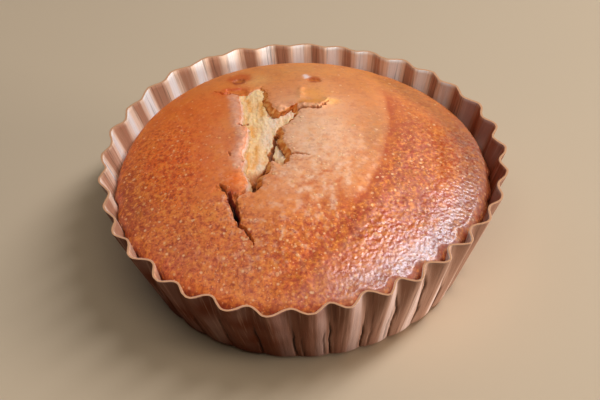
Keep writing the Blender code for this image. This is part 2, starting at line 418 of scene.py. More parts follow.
def makePaperMaterial(case):
    material, tree, shader = startMaterial("bakingPaper", case["roughness"])
    around = readPoints(tree, "around", "Vector")
    inside = readPoints(tree, "inside")
    broad = noiseNode(tree, around, 0.55)
    streaks = noiseNode(tree, around, 1.3)
    fine = noiseNode(tree, around, 4, 3, 0.7)
    flank = calculate(tree, "ADD", readPoints(tree, "flank"), ramp(tree, broad, 0.25, 0.75, 0.5, -0.5))
    # painted light on one flank of each fold and painted shade on the other, partly also the one and two
    # layers of each pleat
    oneLayerLit = ramp(tree, flank, 0, 0.9, 0.85)
    twoLayersShaded = ramp(tree, flank, 0, -0.9, 0.85)

    def layered(side):
        return layColours(tree, case[side], (oneLayerLit, case[side + "OneLayerLit"]), (twoLayersShaded, case[side + "TwoLayersShaded"]))

    paper = layColours(
        tree, mixColour(tree, inside, layered("outside"), layered("inside")),
        (readPoints(tree, "tanned"), case["tanned"]),
        # painted shade
        (readPoints(tree, "paintedShade"), mixColour(tree, inside, case["paintedShade"], case["paintedShadeInner"])),
        (ramp(tree, streaks, 0.54, 0.74, 0.35), case["paleFibre"]),
        (ramp(tree, streaks, 0.46, 0.28, 0.5), case["darkFibre"]),
        (ramp(tree, fine, 0.54, 0.74, 0.22), case["darkFibre"]),
        # painted shade in the creases
        (readPoints(tree, "crease"), case["creaseShadeAndStain"]),
        (readPoints(tree, "cutEdge"), case["cutEdge"]),
    )
    tree.links.new(paper, shader.inputs["Base Color"])
    shader.inputs["Specular IOR Level"].default_value = 0.25
    addBump(tree, shader, calculate(tree, "ADD", fine, noiseNode(tree, millimetres(tree), 3.5)), 0.12, 0.5)
    return material


def makePaperCase(case):
    steps = np.arange(case["columnsPerFold"]) / case["columnsPerFold"]
    phases = steps - 0.04 * np.sin(4 * math.pi * steps)  # closer together on the folds
    columns = case["folds"] * len(phases)
    allFolds = np.repeat(np.arange(case["folds"]), len(phases))
    allPhases = np.tile(phases, case["folds"])
    flank = np.sin(math.tau * allPhases)
    thickness = case["thickness"]
    climb = 1 - (1 - np.linspace(0, 1, case["rings"])) ** 1.15  # closer together near the rim
    outerHeights = [0, 0.5, 1, *(case["corner"] + (caseTop - case["corner"]) * climb)]
    innerHeights = [height + thickness for height in outerHeights[:-2]] + [caseTop]
    circle = roundPlaces(20, np.linspace(0, math.tau, columns, endpoint=False))
    rimWave = case["rimWave"] * noiseAt(circle, 4)
    points = []
    around = []
    looks = []

    def addRing(loop, heights, cutEdge, inside, crease=0):
        points.append(np.column_stack([loop, heights]))
        around.append(roundPlaces(50, np.arctan2(loop[:, 1], loop[:, 0]), 0.04 * heights))
        looks.append(np.column_stack(np.broadcast_arrays(cutEdge, inside, crease, flank)))

    def waved(height):
        return height + rimWave * ease(height / caseTop, 0.8, 0.2)

    for height in outerHeights:
        loop = wallLoop(case, height, phases, case["pinch"], case["wrinkle"])
        addRing(loop, waved(height), 0, 0, 0.9 * creaseShare(case, height, allFolds, allPhases))
    rim = wallLoop(case, caseTop, phases, 0, case["wrinkle"])
    for share, rounding in ((0.12, 0), (0.5, 0.04), (0.88, 0)):
        addRing(inset(rim, share * thickness), caseTop + rimWave + rounding, 1, 0.5)
    for height in reversed(innerHeights):
        addRing(inset(wallLoop(case, height, phases, 0, case["wrinkle"]), thickness), waved(height), 0, 1)
    faces = []
    for ring in range(len(points) - 1):
        faces += ringFaces(ring * columns, (ring + 1) * columns, columns)
    under = len(points) * columns
    faces += fanFaces(0, columns, under, turned=True) + fanFaces(under - columns, columns, under + 1)
    centres = np.array([(0, 0, 0), (0, 0, thickness)])
    places = np.vstack([*points, centres])
    piece = makePiece("bakingCase", places, faces, makePaperMaterial(case))
    layer = piece.data.attributes.new("around", "FLOAT_VECTOR", "POINT")
    layer.data.foreach_set("vector", np.vstack([*around, centres]).ravel())
    looks = np.vstack([*looks, (0, 0, 0, 0), (0, 1, 0, 0)])
    for name, values in zip(("cutEdge", "inside", "crease", "flank"), looks.T):
        paintPoints(piece, name, values)
    azimuth = np.degrees(np.arctan2(places[:, 1], places[:, 0]))
    inner = looks[:, 1]

    def sideShare(side):  # 1 in the middle of a side, fading out unevenly
        turn = (azimuth - case[side][0] + 180) % 360 - 180
        return np.exp(-(turn / case[side][1]) ** 4) * (1 + 0.25 * noiseAt(places, 9))

    # painted shade, fading towards the top of the inner wall
    low = 1 - 0.6 * ease(places[:, 2], 27, 7)
    paintedShade = mix(0.92 * sideShare("paintedShadeOutside"), 0.9 * low * sideShare("paintedShadeInside"), inner)
    paintPoints(piece, "paintedShade", paintedShade)
    paintPoints(piece, "tanned", 0.75 * sideShare("tannedOutside") * (1 - inner))
    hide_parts("paper_case")
    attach(piece, "root")


crust = {  # the dome with its rolled edge, the smooth skin on its left part and the grain beyond
    "clearance": 0.3,
    "shoulderHeight": 24.5,
    "shoulderRadius": 50.4,
    "domeRise": 10.5,
    "domePower": 2.3,
    "edgeRadius": 50.2,  # where the crust has shrunk away from the paper
    "edgeHeight": 22.4,
    "edgeRoll": 2.4,
    "edgeSpread": 0.55,
    "sideHeights": (21.4, 20, 17.5, 13.5, 9, 5),
    "backSway": ((1, 0.6, 150), (2, 0.8, 260)),  # the shoulder is higher at the back left
    "swell": 0.35,
    "swellSpan": 14,
    "skinCentre": (-44.5, 17),
    "skinRadius": 68.6,
    "skinStep": 0.35,
    "skinStepWidth": 5,
    "tonguePlace": (-17.5, -11),
    "tongueSpan": 5,
    "tongueRise": 0.6,
    "smoothSpacing": 0.5,
    "grainSpacing": 0.3,
    "fineSpacing": 0.19,
    "fineReach": 1,
    "sideColumnsPerFold": 24,
    "holeStep": 0.24,  # between points along the torn edges
    "holeRows": 9,
    "grainSize": 0.95,
    "grainHeight": 0.16,
    "wormSize": 0.9,
    "wormHeight": 0.14,
    "frayHeight": 0.3,  # crumbs and shreds along the torn edges
    "frayReach": 0.8,
    "shine": 1.68,  # the oily skin shines more than dry crust
}

tear = {
    "outline": (
        (-16.2, 28.6), (-15.5, 22), (-15.2, 16.5), (-15.5, 12.6), (-13.9, 10.6), (-13.7, 6.5), (-14.2, 3),
        (-15.3, 0.4), (-14.7, -3.8), (-15.6, -6.6), (-14.5, -9.4), (-13.9, -12.2), (-14.8, -14.9),
        (-12.1, -15.7), (-10.2, -13.4), (-9.8, -9.9), (-7.9, -8.4), (-7.3, -4.6), (-6.2, -5.2), (-4.7, -6.8),
        (-2.9, -5.2), (-2, -2.4), (-2.9, 0.8), (-4.1, 3.8), (-3.5, 6.4), (-4.4, 9.3), (-2.3, 10.6),
        (0.5, 15), (0.2, 19.3), (-2, 17.5), (-4.8, 15.9), (-6.3, 18.3), (-7.5, 22.3), (-7.9, 27.8),
        (-9.6, 31), (-11.4, 30.2), (-13.6, 28.2),
    ),
    "fray": 0.34,
    "depthAlong": (  # places from front to back, and how deep the hole is there
        (-17, 5.6), (-12, 4.2), (-7, 2.7), (0, 2), (10, 1.8), (22, 1.6), (27, 1.1), (31, 0.4),
    ),
    "lobePlace": (-4.4, -3.2),
    "lobeReach": 3.2,
    "lobeRise": 1,
    "lipLean": 0.75,
    "wallLean": 1.35,
}

slit = {
    "outline": (
        (-19.4, -14.2), (-19.6, -17.2), (-18.7, -18.9), (-18.2, -21.1), (-17.7, -23.6), (-16.9, -25.8),
        (-16.2, -24.2), (-16.1, -22.5), (-16.8, -20.3), (-17.2, -18.4), (-18, -16.4), (-18.5, -14.2),
    ),
    "fray": 0.26,
    "depthAlong": ((-26, 2.5), (-24, 6), (-19.5, 5.5), (-18, 2.2), (-14, 1)),
}

cracks = (  # each groove's plan points with its width there, then its depth, how much painted shade darkens its bottom, and its slope
    (((-17, -25.2, 1), (-15.3, -26.8, 0.6), (-14.5, -28.2, 0.9), (-13.7, -29.9, 0.6), (-12.9, -31.9, 0.2)),
     1.5, 0.8, 0.75),
    (((-23.2, -13.2, 0.8), (-21.6, -11.8, 1.6), (-20, -13.2, 1.4)), 0.7, 0.1, 0.75),
    (((-21.4, -11, 0.4), (-20.9, -12.4, 0.9), (-19.8, -13.6, 0.6), (-19.2, -15.4, 1)), 1.4, 0.75, 0.75),
    (((-22.9, 31.9, 0.3), (-20.3, 29.8, 0.9), (-18.1, 29.8, 0.9), (-15.6, 29.6, 1.4)), 0.7, 0.2, 0.75),
    (((0, 16.4, 1.6), (1.6, 17.1, 0.9), (3.4, 16.7, 1), (6.4, 16.4, 0.7), (8.8, 19.4, 0.3)), 1.2, 0.7, 0.75),
    (((-2.1, -2.3, 0.7), (0.6, -3, 0.5), (3, -3.7, 0.2)), 0.7, 0.4, 0.75),
    (((-17, 36.9, 2.4), (-15.4, 36.5, 3.2)), 0.6, 0.2, 1.8),
    (((-19, 31.4, 1.8), (-17, 30.6, 3.2), (-14.9, 29.6, 4.4), (-14, 28, 2.8)), 0.7, 0, 1.8),
    (((-18.6, 30.2, 0.5), (-17, 29.6, 0.9)), 1.1, 0.4, 0.75),
    (((-15.6, 27.6, 0.7), (-14.2, 26.8, 1)), 1.1, 0.2, 0.75),
    (((4.2, 33.6, 2), (5.4, 33.2, 3), (6.6, 32.6, 2)), 0.4, 0.1, 2.2),
    (((-17, -20.2, 0.8), (-17.4, -17.6, 1.2), (-17.8, -15.6, 1)), 0.9, 0.25, 0.75),
    (((-14.6, -14.6, 0.9), (-16.2, -16.2, 0.8), (-17.8, -17.2, 0.8)), 1.6, 0.3, 0.75),
    (((-16.2, 12.3, 0.4), (-14, 11.5, 0.7)), 0.8, 0.6, 0.75),
    (((-18.9, 0.8, 0.3), (-18.5, -0.8, 0.6)), 0.5, 0.5, 0.75),
)

flaps = (  # raised torn edges: plan points, rise and reach
    (((0.6, 18.6), (3.4, 18.2), (6.4, 17.8), (8.8, 20.6)), 0.5, 1.5),
    (((1, 20.6), (1.4, 24.6), (1.6, 28.2)), 0.3, 1),
    (((-6, 19.4), (-4, 17.2), (-1.4, 18.8)), 0.4, 1.6),
    (((-17, 24), (-16.8, 14), (-15.2, 6), (-16.2, 0)), 0.18, 1.4),
)


def sideLoop(height):  # round where the crust stands free, and folded like the case below that
    phases = np.arange(crust["sideColumnsPerFold"]) / crust["sideColumnsPerFold"]
    folded = inset(wallLoop(paperCase, height, phases), paperCase["thickness"] + crust["clearance"])
    radius = np.linalg.norm(folded, axis=1)
    freeRadius = crust["edgeRadius"] + crust["edgeSpread"] * max(0, crust["edgeHeight"] - height) ** 1.3
    gap = radius - freeRadius
    least = 0.5 * (radius + freeRadius - np.sqrt(gap * gap + 0.16))
    return folded * (least / radius)[:, None]


crustEdge = sideLoop(crust["edgeHeight"])


def edgeDistance(places):  # millimetres inside the crust's edge
    azimuth, around = [np.arctan2(spots[:, 1], spots[:, 0]) for spots in (places, crustEdge)]
    order = np.argsort(around)
    radius = np.linalg.norm(crustEdge, axis=1)[order]
    return np.interp(azimuth, around[order], radius, period=math.tau) - np.linalg.norm(places, axis=1)


def grooveDepths(places, grooves):  # how deep the grooves are at plan points, and how much painted shade lies in them
    depth = np.zeros(len(places))
    dark = np.zeros(len(places))
    warped = places + 0.45 * noisePair(places, 1.6, 3, 9)
    warped += 0.25 * noisePair(places, 0.6, 33, 39)
    ragged = 1.3 * noiseAt(places, 1.3, 27) + 0.6 * noiseAt(places, 0.6, 28)
    for path, deepest, darkest, slope in grooves:
        path = np.array(path)
        for start, end in zip(path, path[1:]):
            along = end[:2] - start[:2]
            share = np.clip((warped - start[:2]) @ along / (along @ along), 0, 1)
            away = np.linalg.norm(warped - start[:2] - share[:, None] * along, axis=1)
            half = 0.5 * mix(start[2], end[2], share)
            half = half + np.minimum(0.8 * half, 0.3) * ragged
            hollow = np.clip(1 - (away / half) ** 2, 0, 1)
            depth = np.maximum(depth, deepest * hollow ** slope)
            dark = np.maximum(dark, darkest * ease(hollow, 0.2, 0.6))
    return depth, dark


def flapHeights(places):
    rise = np.zeros(len(places))
    for line, height, reach in flaps:
        rise = np.maximum(rise, height * bell(distanceToLine(places, line), reach))
    return rise * (1 + 0.9 * noiseAt(places, 1.8, 71) + 0.4 * noiseAt(places, 0.8, 75))


def beyondSkin(places):  # millimetres outside the smooth skin's edge
    return distanceFrom(places, crust["skinCentre"]) - crust["skinRadius"]


def skinBand(places):  # 1 in the dark orange band just outside the smooth skin
    beyond = beyondSkin(places)
    band = ease(beyond, -0.3, 1.8) * np.exp(-np.maximum(beyond - 1.5, 0) / 6)
    return band * ease(places[:, 1], 34, -14) * ease(places[:, 0], -14, 16)


def zones(places):  # how grainy, wormy and glossy (matt below 0) the crust is, and where its rim shines
    x, y = places.T
    beyond = beyondSkin(places) + 1.2 * noiseAt(places, 6, 4)
    grainy = ease(beyond, 1, 4.5) * mix(0.25, 1, ease(y, 22, -26))
    front = ease(-20 - y + 0.2 * (x + 10), 0, 12)
    grainy = np.maximum(grainy, 0.7 * front * ease(x, -30, 25))
    wormy = np.maximum(ease(x, -24, -10) * ease(y, 28, -20), ease(y, -12, -10) * ease(x, -8, -14))
    turn = np.degrees(np.arctan2(y, x))
    rim = ease(np.hypot(x, y), 33, 8) * (ease(turn, -92, 22) * ease(turn, 32, -28))
    glossy = np.maximum(rim, 0.75 * patchAt(places, (20, -31), (17, 14))) * ease(beyond, 2.5, 5)
    glossy = np.maximum(glossy, 0.4 * patchAt(places, (-40, -18), (14, 26)))
    matt = ease(beyond, -24, 12) * ease(beyond, 7, -4) * ease(x, -16, 14)
    matt = np.maximum(matt, patchAt(places, (-17.6, -11.6), (7, 8)))
    return grainy, wormy, glossy - 0.8 * matt, rim


def smoothDome(places):  # the crust without tear, cracks and grain
    share = np.linalg.norm(places, axis=1) / crust["shoulderRadius"]
    form = crust["swell"] * noiseAt(places, crust["swellSpan"])
    form -= crust["skinStep"] * smoothStep(0.5 + beyondSkin(places) / crust["skinStepWidth"])
    fromTongue = distanceFrom(places, crust["tonguePlace"])
    form += crust["tongueRise"] * (1 - ease(fromTongue, 0, crust["tongueSpan"]))
    dome = crust["shoulderHeight"] + crust["domeRise"] * (1 - share ** crust["domePower"])
    sway = waves(crust["backSway"], np.arctan2(places[:, 1], places[:, 0]))
    dome = dome + sway * ease(places[:, 1], 0, 30) * ease(share, 0.6, 0.3)
    return dome + form * ease(edgeDistance(places), 0, 5)


def crustRelief(places):  # grains, worms and small swells, and the painted light and shade that they lay on the crust's colour
    grainy, wormy, glossy, rim = zones(places)
    glossy = np.maximum(glossy, 0)
    shifted = places + 0.3 * noisePair(places, 1, 61, 67)
    grains = 1 - np.clip(cellsAt(shifted, crust["grainSize"], 1) * 1.6, 0, 1) ** 1.5
    grains = grains * (0.75 + 0.6 * noiseAt(places, 1.5, 2))
    worms = ridgesAt(places, crust["wormSize"], 5) * (0.6 + 0.4 * noiseAt(places, 2.6, 6))
    grainHeight = crust["grainHeight"] * grainy * (1 - 0.2 * glossy) * (1 - 0.3 * rim)
    relief = grainHeight * grains + crust["wormHeight"] * wormy * worms
    relief += noiseAt(places, 3.2, 8) * (0.05 + 0.17 * grainy * (1 - glossy)) * (1 - 0.8 * rim)
    relief += 0.16 * patchAt(places, (15.5, -28), (11, 9)) * ridgesAt(places, 1.7, 15)
    relief += noiseAt(places, 0.7, 11) * (0.012 + 0.03 * grainy + 0.02 * wormy)
    return relief + flapHeights(places), grainy * (grains - 0.45) + 1.2 * wormy * (worms - 0.35)


def crustHeights(places):
    relief, grainTone = crustRelief(places)
    inward = edgeDistance(places)
    height = smoothDome(places) + relief * (0.3 + 0.7 * ease(inward, 0, 2))
    roll = 0.998 * np.clip(1 - inward / crust["edgeRoll"], 0, 1)
    return crust["edgeHeight"] + (height - crust["edgeHeight"]) * np.sqrt(1 - roll * roll), grainTone


def depthAlong(hole, places):
    return np.interp(places[:, 1], *np.array(hole["depthAlong"]).T)


def tearDepth(places):  # how far the torn crumb lies below the crust
    x, y = places.T
    depth = depthAlong(tear, places) + 0.09 * np.clip(x + 13, 0, 6) * ease(y, 22, -12)
    fromLobe = distanceFrom(places, tear["lobePlace"])
    return depth - tear["lobeRise"] * (1 - ease(fromLobe, 0, tear["lobeReach"]))


tones = {  # the colours of the crust and of its torn edges
    "base": (230, 124, 42),
    "patches": (  # middle, reach, colour and strength, each laid over the ones before it
        ((-34, 2), (24, 34), (234, 94, 6), 0.95),
        ((-30, 24), (18, 16), (228, 102, 10), 0.85),
        # the pale middle: partly the skin's own paler tone, partly a painted sheen
        ((4, 5), (23, 33), (242, 188, 144), 1),
        ((4, 42), (32, 12), (220, 144, 74), 0.8),
        ((-10, 35), (5.5, 4.5), (240, 176, 100), 0.6),
        ((38, 4), (17, 30), (166, 91, 50), 0.85),
        ((34, -28), (20, 22), (124, 46, 20), 0.85),
        ((28, 32), (20, 14), (192, 118, 54), 0.8),
        ((0, -38), (22, 14), (246, 128, 44), 0.8),
        ((-26, -32), (18, 12), (224, 94, 12), 0.8),
        ((-17.6, -10.6), (4.6, 5), (250, 112, 6), 0.95),
        ((-17.6, -15.8), (2, 2.2), (196, 46, 6), 0.8),
        ((5, 24.4), (6, 5), (236, 150, 56), 0.8),
        ((21.5, 4.5), (10, 24), (185, 122, 74), 0.75),
        ((11.5, -22.5), (5, 8), (186, 72, 4), 0.8),
        ((4.5, -31), (9, 5.5), (176, 67, 4), 0.85),
        ((-6.5, -37.5), (6, 4), (206, 88, 10), 0.7),
        ((36, 23), (10, 14), (206, 136, 80), 0.45),
        ((-47, -12), (9, 28), (166, 74, 38), 0.8),
        ((-35, -33), (12, 12), (190, 96, 74), 0.5),
    ),
    "stains": (  # small spots, orange, brown with darker cores, and pale, with one painted glint: middle, reach, colour and strength
        ((-15.9, 38.1), (4.4, 4.4), (208, 88, 4), 0.9),
        ((-15.8, 35.9), (2.4, 2.6), (152, 54, 2), 0.95),
        ((-18, 30.4), (6, 3), (220, 84, 2), 0.95),
        ((5.4, 33.4), (2.2, 2.8), (184, 80, 6), 0.95),
        # a painted glint on a small blister
        ((3.3, 35.6), (1.3, 1.9), (252, 222, 204), 0.9),
        ((2.2, 19.9), (2.8, 1.7), (228, 138, 44), 0.8),
        ((5.6, 19.5), (3.2, 1.8), (232, 146, 54), 0.8),
        ((10, 19.8), (3, 2.4), (240, 176, 92), 0.5),
    ),
    "paleLines": (  # plan points, reach and strength of the pale torn edges, and of a painted highlight along the slit's left edge
        (((-17.4, 28.6), (-16.8, 22), (-16.6, 13), (-15.2, 9), (-15.2, 4), (-16.6, 0), (-16.2, -5)),
         1.8, 0.8),
        (((-15.3, -7.4), (-14.2, -10), (-14, -12.6), (-15, -15), (-16.4, -17)), 0.45, 0.8),
        # a painted highlight along the slit's left edge
        (((-20.5, -15.2), (-20.2, -17.4), (-19.3, -19.2), (-18.8, -21.4), (-18.2, -24)), 0.4, 0.6),
    ),
    "skinEdge": (172, 66, 4),
    # painted sheen along the shiny right-front rim
    "rim": (186, 142, 126),
    "side": (150, 62, 16),
    "paleBlotch": (248, 196, 158),
    "orangeBlotch": (206, 92, 14),
    "lipPink": (232, 138, 88),
    "lip": (246, 196, 164),
    "torn": (226, 122, 30),
    "tornLight": (246, 170, 88),
    "tornFoot": (170, 76, 10),
    # painted shade at the bottoms of the cracks, the tear and the slit
    "deep": (66, 24, 8),
    "slitWall": (168, 60, 22),
    "crumbEdge": (236, 190, 128),
    "grainLight": (246, 152, 62),
    "grainPit": (166, 50, 5),
    "cloudLight": (244, 142, 42),
    "cloudDark": (180, 66, 6),
    "mauve": (212, 97, 50),
    "yolk": (238, 138, 20),
    "dot": (252, 194, 136),
}


def crustColours(places, grainTone, inward):
    shifted = places + 3 * noisePair(places, 9, 13, 17)
    nudged = places + 0.7 * noisePair(places, 1.5, 93, 97)
    middle = np.maximum(0.8 * patchAt(places, (-4, -30), (25, 16)), patchAt(places, (4, -12), (26, 26)))
    blotch = noiseAt(places, 2.2, 19) + 0.6 * noiseAt(places, 0.9, 23)
    rim = zones(places)[3] * ease(inward, 14, -10)
    crumbly = smoothStep(0.5 + 1.2 * noiseAt(places, 1.1, 91))
    colour = plainColour(tones["base"], len(places))
    for centre, reach, patch, strength in tones["patches"]:
        colour = blend(colour, (patch, strength * patchAt(shifted, centre, reach)))
    colour = blend(
        colour,
        (tones["paleBlotch"], 0.95 * middle * ease(blotch, 0.04, 0.5)),
        (tones["orangeBlotch"], 0.7 * middle * ease(blotch, -0.1, -0.5)),
        (tones["skinEdge"], 0.85 * skinBand(shifted * 0.25 + places * 0.75)),
        # painted sheen along the shiny rim, fading inwards
        (tones["rim"], rim * (0.62 + 0.4 * noiseAt(places, 1.3, 87))),
    )
    for centre, reach, stain, strength in tones["stains"]:
        colour = blend(colour, (stain, strength * smoothStep(1.6 * patchAt(nudged, centre, reach))))
    for line, reach, strength in tones["paleLines"]:
        near = np.exp(-(distanceToLine(nudged, line) / reach) ** 3)
        pale = strength * near * near * (0.35 + 0.35 * crumbly)
        colour = blend(colour, (tones["lipPink"], strength * near), (tones["lip"], pale))
    colour = blend(colour, (tones["side"], ease(inward, 1.1, -1.1)))
    # painted light on the grain tops and worm crests, painted shade between them
    shade = np.clip(1 + 0.75 * grainTone, 0.45, 1.5)
    return colour * shade[:, None] ** np.array([0.6, 1, 1.25])


def makeCrustMaterial():
    material, tree, shader = startMaterial("bakedCrust", 0.5)
    place = millimetres(tree)
    tone = readPoints(tree, "tone", "Color")
    torn, mottle, grain, gloss = [readPoints(tree, name) for name in ("torn", "mottle", "grain", "gloss")]
    cloud = noiseNode(tree, place, 0.22, 5, 0.62)
    fleck = noiseNode(tree, place, 0.85, 4, 0.7)
    hue = noiseNode(tree, place, 0.4)
    grains = cellNode(tree, place, 1.1)

    def masked(value, low, high, strength, mask=mottle):
        return calculate(tree, "MULTIPLY", ramp(tree, value, low, high, strength), mask)

    colour = layColours(
        tree, tone,
        (ramp(tree, cloud, 0.45, 0.72, 0.3), tones["cloudLight"]),
        (ramp(tree, cloud, 0.5, 0.25, 0.3), tones["cloudDark"]),
        (masked(hue, 0.5, 0.62, 0.4), tones["mauve"]),
        (masked(hue, 0.48, 0.36, 0.25), tones["yolk"]),
        (masked(fleck, 0.51, 0.64, 0.75), tones["grainLight"]),
        (masked(fleck, 0.49, 0.36, 0.8), tones["grainPit"]),
        (masked(grains, 0.42, 0.75, 0.6, grain), tones["grainPit"]),
        (masked(cellNode(tree, place, 0.42), 0.22, 0.08, 0.75), tones["dot"]),
        (masked(cellNode(tree, place, 0.8), 0.22, 0.08, 0.5), tones["dot"]),
        (torn, tone),
    )
    tree.links.new(colour, shader.inputs["Base Color"])
    rough = ramp(tree, gloss, -0.8, 0.9, 0.27, 0.95)
    wander = ramp(tree, fleck, 0.35, 0.65, 0.05, -0.05)
    tree.links.new(calculate(tree, "ADD", rough, wander), shader.inputs["Roughness"])
    dents = calculate(tree, "SUBTRACT", noiseNode(tree, place, 1.2, 2), grains)
    dents = calculate(tree, "MULTIPLY", dents, grain)
    bumpy = ramp(tree, gloss, 0.3, 0.9, 0.42, 0.3)
    fine = calculate(tree, "MULTIPLY", noiseNode(tree, place, 2.2, 2), bumpy)
    addBump(tree, shader, calculate(tree, "ADD", dents, fine), 0.12, 0.8)
    shader.inputs["IOR"].default_value = crust["shine"]
    letLightIn(shader, 0.1, (1, 0.45, 0.2), 1.2)
    return material


def tearWall(loop, down):  # how far the torn edge leans into the hole at a depth, and its colour there
    across, along = inwardNormals(loop).T
    lipSide = ease(across, -0.1, 0.7) * ease(loop[:, 0], -9, -2)
    farSide = ease(across, 0.1, -0.7)
    nearSide = ease(along, 0.3, 0.5)
    lean = (tear["lipLean"] * lipSide + tear["wallLean"] * farSide) * (1 - nearSide) - 0.2 * nearSide
    lumps = noiseAt(np.column_stack([loop, down * 2]), 1.1)
    pale = blend(
        plainColour(tones["lip"], len(loop)),
        (tones["crumbEdge"], ease(down, 0.4, 0.6)),
        (tones["lipPink"], 0.3 * ease(lumps, 0.1, -0.3)),
    )
    # darker towards the foot of the wall, with painted shade deeper in the hole
    colour = blend(
        plainColour(tones["torn"], len(loop)),
        (tones["tornFoot"], ease(down, 0.6, 1.6)),
        (tones["tornLight"], 0.8 * ease(lumps, -0.05, 0.35) * (1 - nearSide)),
        (pale, lipSide),
        (tones["deep"], 0.85 * ease(down, 2.4, 1.8)),
    )
    return lean * np.minimum(down, 1.2), colour


def slitWall(loop, down):
    farSide = ease(inwardNormals(loop)[:, 0], 0.1, -0.7)
    # the far wall, which faces away from the lamps, is the dark red-brown from its top: painted shade; lower
    # down every side takes that colour, with painted shade towards the bottom
    colour = blend(
        plainColour(tones["lip"], len(loop)),
        (tones["slitWall"], farSide),
        (tones["slitWall"], ease(down, 0, 0.4)),
        (linear(tones["deep"]) * 0.3, ease(down, 0.3, 2.4)),
    )
    return mix(0.1, 0.3, farSide) * np.minimum(down, 1.5), colour


def makeCrust():
    tearLoop = roughen(tear["outline"], crust["holeStep"], tear["fray"], 21)
    slitLoop = roughen(slit["outline"], crust["holeStep"], slit["fray"], 25)
    loops = [crustEdge, tearLoop, slitLoop]

    def isSolid(places):
        return ~isInside(places, tearLoop) & ~isInside(places, slitLoop)

    def holeDistance(places):
        return np.minimum(distanceToLine(places, tearLoop, True), distanceToLine(places, slitLoop, True))

    def levelOf(places):  # 2 beside tears and cracks, 1 on grainy crust and rolled edge, 0 on smooth skin
        close = [distanceToLine(places, hole["outline"], True) for hole in (tear, slit)]
        for path in [np.array(crack[0]) for crack in cracks]:
            close.append(distanceToLine(places, path[:, :2]) - 0.5 * path[:, 2].max())
        level = np.where(np.maximum(*zones(places)[:2]) > 0.2, 1, 0)
        level[edgeDistance(places) < 3.4] = 1
        level[np.min(close, axis=0) < crust["fineReach"]] = 2
        return level

    parts = []
    for level, name in enumerate(("smoothSpacing", "grainSpacing", "fineSpacing")):
        reach, centre = ((51, 51), (0, 0)) if level < 2 else ((24, 40), (-7, 5))
        part = spread(crust[name], reach, centre, seed=3 + level)
        part = part[edgeDistance(part) > 0.2]
        part = part[levelOf(part) == level]
        if level == 2:
            part = part[holeDistance(part) > 0.12]
        parts.append(part[isSolid(part)])
    places, triangles = triangulate(np.vstack([*loops, *parts]), [len(loop) for loop in loops])
    triangles = triangles[isSolid(places[triangles].mean(axis=1))]

    heights, grainTone = crustHeights(places)
    heights[:len(crustEdge)] = crust["edgeHeight"]
    grooves, dark = grooveDepths(places, cracks)
    fromHole = holeDistance(places)
    fray = crust["frayHeight"] * noiseAt(places, 0.7, 81) * np.exp(-fromHole / crust["frayReach"])
    top = np.column_stack([places, heights - grooves + fray - 0.3 * np.exp(-fromHole / 0.7)])
    inward = edgeDistance(places)
    grainy, wormy, glossy, rim = zones(places)
    broken = smoothStep(grooves / 0.3)
    mottle = np.clip(0.35 + grainy + wormy, 0, 1) * (1 - 0.3 * rim)
    mottle *= 1 - 0.4 * ease(places[:, 1], -8, 25)  # softer towards the back
    grain = grainy * (0.5 - 0.1 * rim) * (1 - broken)
    torn = (tones["torn"], 0.8 * smoothStep(grooves / 0.5))
    points = [top]
    # painted shade in the bottoms of the cracks
    colours = [blend(crustColours(places, grainTone, inward), torn, (tones["deep"], dark))]
    looks = [np.column_stack([glossy * ease(inward, 0.6, 2.4), mottle, broken, grain])]
    faces = triangles.tolist()
    count = len(top)

    def addRow(ring, colour, gloss, mottle, torn):
        points.append(ring)
        colours.append(colour)
        looks.append(np.tile([gloss, mottle, torn, 0], (len(ring), 1)))

    first = len(crustEdge)
    for loop, hole, wall in ((tearLoop, tear, tearWall), (slitLoop, slit, slitWall)):
        columns = len(loop)
        normal = inwardNormals(loop)
        loopHeights = top[first:first + columns, 2]
        deepest = tearDepth(loop) + 1.2 if hole is tear else depthAlong(hole, loop)
        previous = first
        for row in range(1, crust["holeRows"] + 1):
            down = deepest * (row / crust["holeRows"]) ** 1.4
            lean, colour = wall(loop, down)
            ragged = 0.08 * noiseAt(loop, 0.9, 31) * smoothStep(down / 0.5)
            ragged += 0.45 * noiseAt(np.column_stack([loop, down * 2]), 1.1) * smoothStep(down / 0.3)
            ring = np.column_stack([loop + normal * (lean + ragged)[:, None], loopHeights - down])
            addRow(ring, colour, 0, 0.3, 1)
            faces += [face[::-1] for face in ringFaces(previous, count, columns)]
            previous = count
            count += columns
        bottom = np.array([[*loop.mean(axis=0), (loopHeights - deepest).mean()]])
        # a dark fan across the bottom of the hole: painted shade
        addRow(bottom, plainColour(tones["deep"], 1), 0, 0, 1)
        faces += fanFaces(previous, columns, count, turned=True)
        count += 1
        first += columns

    previous = 0
    columns = len(crustEdge)
    lowest = paperCase["thickness"] + crust["clearance"]
    for height in (*crust["sideHeights"], paperCase["corner"] + lowest, lowest):
        ring = np.column_stack([sideLoop(height), np.full(columns, height)])
        addRow(ring, plainColour(tones["side"], columns), 0.1, 0.5, 0)
        faces += ringFaces(count, previous, columns)
        previous = count
        count += columns
    addRow(np.array([(0, 0, lowest)]), plainColour(tones["side"], 1), 0.1, 0.5, 0)
    faces += fanFaces(previous, columns, count, turned=True)

    piece = makePiece("crust", np.vstack(points), faces, makeCrustMaterial(), 75)
    paintPoints(piece, "tone", np.vstack(colours))
    for name, values in zip(("gloss", "mottle", "torn", "grain"), np.vstack(looks).T):
        paintPoints(piece, name, values)
    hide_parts("cake")
    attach(piece, "root")


